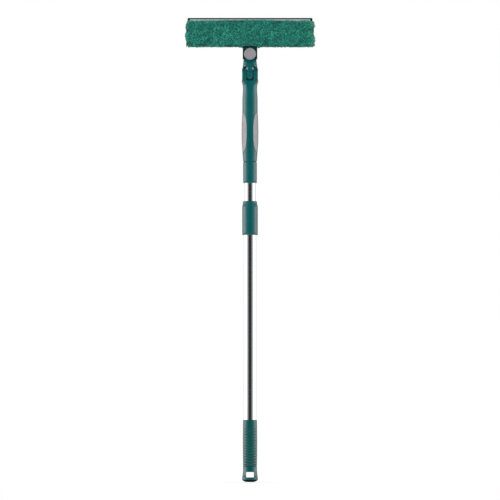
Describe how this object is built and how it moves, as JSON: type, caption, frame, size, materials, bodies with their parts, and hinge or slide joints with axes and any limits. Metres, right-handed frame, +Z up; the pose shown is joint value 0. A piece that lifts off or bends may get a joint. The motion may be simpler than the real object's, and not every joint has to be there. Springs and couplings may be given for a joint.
{
  "type": "window cleaning squeegee",
  "caption": "Telescopic window squeegee: rubber blade, microfibre washer sleeve, swivelling and folding head, moulded handle, twist-lock pole with hanging slot.",
  "frame": {"origin": "lowest point of the hanging end, on the pole's axis", "axes": "+Z up the pole to the head, X along the head and the blade, -Y the side with the button"},
  "size_m": [0.256, 0.0316, 0.9279],
  "materials": {
    "teal_plastic": "satin moulded",
    "teal_grip": "satin moulded, ribbed",
    "polished_tube": "polished",
    "black_nylon": "moulded",
    "white_nylon": "moulded",
    "grey_rubber": "soft matte",
    "steel": "plated",
    "dark_plastic": "satin moulded",
    "grey_plastic": "satin moulded",
    "hook_tape": "hook pile",
    "microfibre": "short looped pile",
    "channel_metal": "satin anodised",
    "blade_rubber": "smooth"
  },
  "bodies": {
    "pole": {"hanging_end": "teal_plastic", "grip_sleeve": "teal_grip", "outer_tube": "polished_tube", "collet": "black_nylon"},
    "collar": {"lock_collar": "teal_plastic"},
    "mast": {"inner_tube": "polished_tube", "glide_bush": "white_nylon", "pole_connector": "teal_plastic"},
    "handle": {"handle_shell": "teal_plastic", "thread_insert": "black_nylon", "grip_inset_left": "grey_rubber", "grip_inset_right": "grey_rubber", "fold_pin": "steel", "fold_nut": "steel", "fold_washers": "black_nylon"},
    "neck": {"neck": "teal_plastic"},
    "head": {"head_bracket": "dark_plastic", "swivel_screw": "steel", "swivel_nut": "steel", "rear_cover": "dark_plastic", "bracket_screws": "steel", "head_bar": "dark_plastic", "bar_plugs": "dark_plastic", "hook_tapes": "hook_tape", "washer_sleeve": "microfibre", "blade_channel": "channel_metal", "rubber_blade": "blade_rubber", "end_clips": "dark_plastic"},
    "button": {"button_cap": "grey_plastic", "lock_plunger": "black_nylon", "plunger_spring": "steel"}
  },
  "joints": [
    {"name": "collar_twist", "type": "hinge", "parent": "pole", "child": "collar", "pos_m": [0, 0, 0.527], "axis": [0, 0, 1], "range_deg": [0, 120]},
    {"name": "pole_extend", "type": "slide", "parent": "pole", "child": "mast", "axis": [0, 0, 1], "range_m": [-0.033, 0.39]},
    {"name": "handle_lift", "type": "slide", "parent": "mast", "child": "handle", "axis": [0, 0, 1], "range_m": [0, 0.036]},
    {"name": "neck_fold", "type": "hinge", "parent": "handle", "child": "neck", "pos_m": [0, 0, 0.8142], "axis": [1, 0, 0], "range_deg": [-90, 90]},
    {"name": "head_swivel", "type": "hinge", "parent": "neck", "child": "head", "pos_m": [0, 0, 0.855], "axis": [0, 1, 0], "range_deg": [-85, 85]},
    {"name": "button_press", "type": "slide", "parent": "head", "child": "button", "axis": [0, 1, 0], "range_m": [0, 0.0025], "stiffness_N_per_m": 800, "springref_m": -0.003, "deforming": ["plunger_spring"]}
  ]
}
